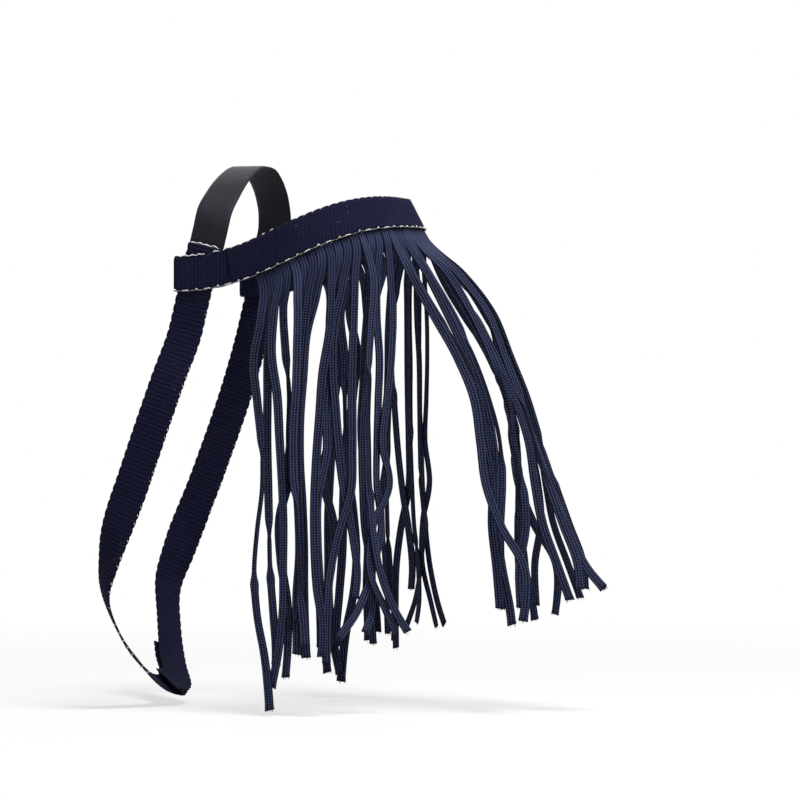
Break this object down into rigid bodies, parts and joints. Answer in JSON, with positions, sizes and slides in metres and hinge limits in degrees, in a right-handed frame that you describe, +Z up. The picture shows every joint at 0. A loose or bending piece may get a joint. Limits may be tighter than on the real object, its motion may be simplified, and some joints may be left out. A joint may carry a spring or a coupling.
{
  "type": "horse fly fringe",
  "caption": "Browband with a fringe of flat braided cords, sliding on an elastic and webbing head strap that closes under the throat.",
  "frame": {"origin": "middle of the crown's flat underside, where it rests on the poll behind the ears", "axes": "+X towards the horse's nose, +Y to the horse's left, +Z up"},
  "size_m": [0.362, 0.2028, 0.3905],
  "materials": {
    "webbing": "matt navy ribbed webbing",
    "elastic": "dark woven elastic with a low sheen",
    "cord": "soft navy braid",
    "heading_tape": "matt dark tape",
    "hook_and_loop": "matt black pile"
  },
  "bodies": {
    "head_strap": {"crown_elastic": "elastic", "throat_strap_right": "webbing", "throat_strap_left": "webbing", "closure_loop_tape": "hook_and_loop"},
    "closure_flap": {"closure_tab": "webbing", "closure_hook_tape": "hook_and_loop"},
    "browband": {"browband_webbing": "webbing", "fringe_heading_tape": "heading_tape"},
    "right_cheek_tuft_1": {"fringe_cord_right_cheek_1": "cord", "fringe_cord_right_cheek_2": "cord"},
    "right_cheek_tuft_2": {"fringe_cord_right_cheek_3": "cord", "fringe_cord_right_cheek_4": "cord"},
    "right_cheek_tuft_3": {"fringe_cord_right_cheek_5": "cord", "fringe_cord_right_cheek_6": "cord"},
    "right_cheek_tuft_4": {"fringe_cord_right_cheek_7": "cord", "fringe_cord_right_cheek_8": "cord"},
    "right_brow_tuft_1": {"fringe_cord_right_brow_1": "cord", "fringe_cord_right_brow_2": "cord"},
    "right_brow_tuft_2": {"fringe_cord_right_brow_3": "cord", "fringe_cord_right_brow_4": "cord"},
    "left_cheek_tuft_1": {"fringe_cord_left_cheek_1": "cord", "fringe_cord_left_cheek_2": "cord"},
    "left_cheek_tuft_2": {"fringe_cord_left_cheek_3": "cord", "fringe_cord_left_cheek_4": "cord"},
    "left_cheek_tuft_3": {"fringe_cord_left_cheek_5": "cord", "fringe_cord_left_cheek_6": "cord"},
    "left_cheek_tuft_4": {"fringe_cord_left_cheek_7": "cord", "fringe_cord_left_cheek_8": "cord"},
    "left_brow_tuft_1": {"fringe_cord_left_brow_1": "cord", "fringe_cord_left_brow_2": "cord"},
    "left_brow_tuft_2": {"fringe_cord_left_brow_3": "cord", "fringe_cord_left_brow_4": "cord"}
  },
  "joints": [
    {"name": "browband_slide", "type": "slide", "parent": "head_strap", "child": "browband", "axis": [0.2334, 0, 0.9724], "range_m": [-0.01, 0.01]},
    {"name": "closure_peel", "type": "hinge", "parent": "head_strap", "child": "closure_flap", "pos_m": [-0.0646, -0.00763, -0.37817], "axis": [-0.7851, 0.2066, 0.5839], "range_deg": [0, 100]},
    {"name": "right_cheek_tuft_1_swing", "type": "hinge", "parent": "browband", "child": "right_cheek_tuft_1", "pos_m": [0.04118, -0.08602, -0.07755], "axis": [-0.9185, 0.0676, -0.3895], "range_deg": [0, 50]},
    {"name": "right_cheek_tuft_2_swing", "type": "hinge", "parent": "browband", "child": "right_cheek_tuft_2", "pos_m": [0.06541, -0.08489, -0.06666], "axis": [-0.8896, -0.1923, -0.4143], "range_deg": [0, 50]},
    {"name": "right_cheek_tuft_3_swing", "type": "hinge", "parent": "browband", "child": "right_cheek_tuft_3", "pos_m": [0.08808, -0.07514, -0.05672], "axis": [-0.7918, -0.5246, -0.313], "range_deg": [0, 50]},
    {"name": "right_cheek_tuft_4_swing", "type": "hinge", "parent": "browband", "child": "right_cheek_tuft_4", "pos_m": [0.107, -0.05748, -0.0505], "axis": [-0.608, -0.7796, -0.1505], "range_deg": [0, 50]},
    {"name": "right_brow_tuft_1_swing", "type": "hinge", "parent": "browband", "child": "right_brow_tuft_1", "pos_m": [0.11948, -0.03548, -0.0482], "axis": [-0.3668, -0.9294, -0.0416], "range_deg": [0, 50]},
    {"name": "right_brow_tuft_2_swing", "type": "hinge", "parent": "browband", "child": "right_brow_tuft_2", "pos_m": [0.12537, -0.0121, -0.04771], "axis": [-0.1173, -0.9931, -0.0052], "range_deg": [0, 50]},
    {"name": "left_cheek_tuft_1_swing", "type": "hinge", "parent": "browband", "child": "left_cheek_tuft_1", "pos_m": [0.04118, 0.08602, -0.07755], "axis": [0.9185, 0.0676, 0.3895], "range_deg": [0, 50]},
    {"name": "left_cheek_tuft_2_swing", "type": "hinge", "parent": "browband", "child": "left_cheek_tuft_2", "pos_m": [0.06541, 0.08489, -0.06666], "axis": [0.8896, -0.1923, 0.4143], "range_deg": [0, 50]},
    {"name": "left_cheek_tuft_3_swing", "type": "hinge", "parent": "browband", "child": "left_cheek_tuft_3", "pos_m": [0.08808, 0.07514, -0.05672], "axis": [0.7918, -0.5246, 0.313], "range_deg": [0, 50]},
    {"name": "left_cheek_tuft_4_swing", "type": "hinge", "parent": "browband", "child": "left_cheek_tuft_4", "pos_m": [0.107, 0.05748, -0.0505], "axis": [0.608, -0.7796, 0.1505], "range_deg": [0, 50]},
    {"name": "left_brow_tuft_1_swing", "type": "hinge", "parent": "browband", "child": "left_brow_tuft_1", "pos_m": [0.11948, 0.03548, -0.0482], "axis": [0.3668, -0.9294, 0.0416], "range_deg": [0, 50]},
    {"name": "left_brow_tuft_2_swing", "type": "hinge", "parent": "browband", "child": "left_brow_tuft_2", "pos_m": [0.12537, 0.0121, -0.04771], "axis": [0.1173, -0.9931, 0.0052], "range_deg": [0, 50]}
  ]
}
